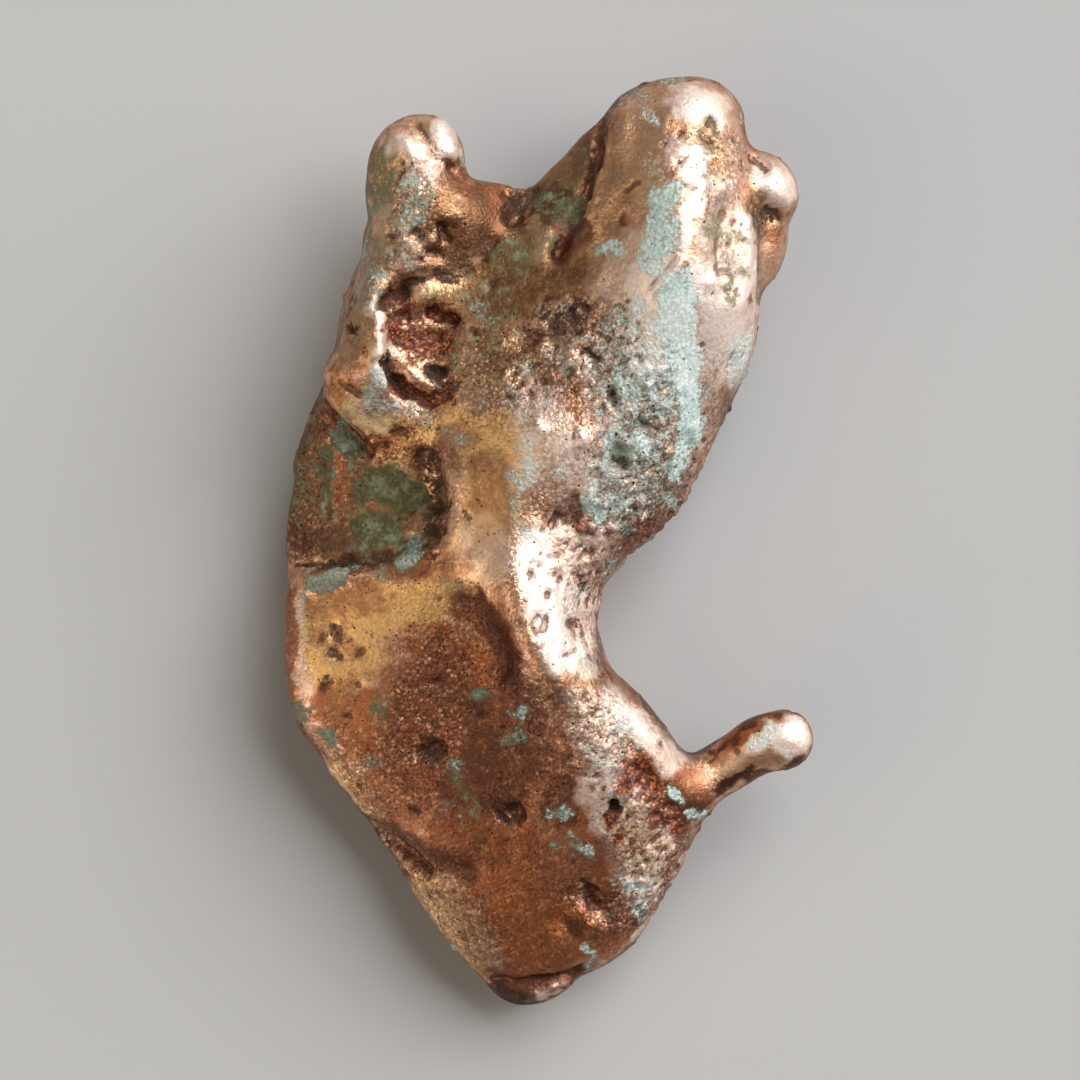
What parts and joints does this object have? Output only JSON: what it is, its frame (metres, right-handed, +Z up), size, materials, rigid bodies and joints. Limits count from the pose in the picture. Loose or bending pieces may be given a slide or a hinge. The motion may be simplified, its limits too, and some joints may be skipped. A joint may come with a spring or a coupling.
{
  "type": "native copper nugget",
  "caption": "Bent, water-worn lump of native copper with a thick head, a horn, a broad plate with a blunt tip, and a thin arm ending in a club.",
  "frame": {"origin": "centre of the nugget's bounding box in X and Y, on the plane that it rests on", "axes": "+Z up from the rest plane; +Y from the blunt tip towards the head, along the longest side; +X towards the side with the arm and the right knob"},
  "size_m": [0.0414, 0.0731, 0.0196],
  "materials": {
    "native_copper": "worn and grainy, with green and brown patina in the hollows"
  },
  "bodies": {
    "root": {"copper_nugget": "native_copper"}
  },
  "joints": []
}
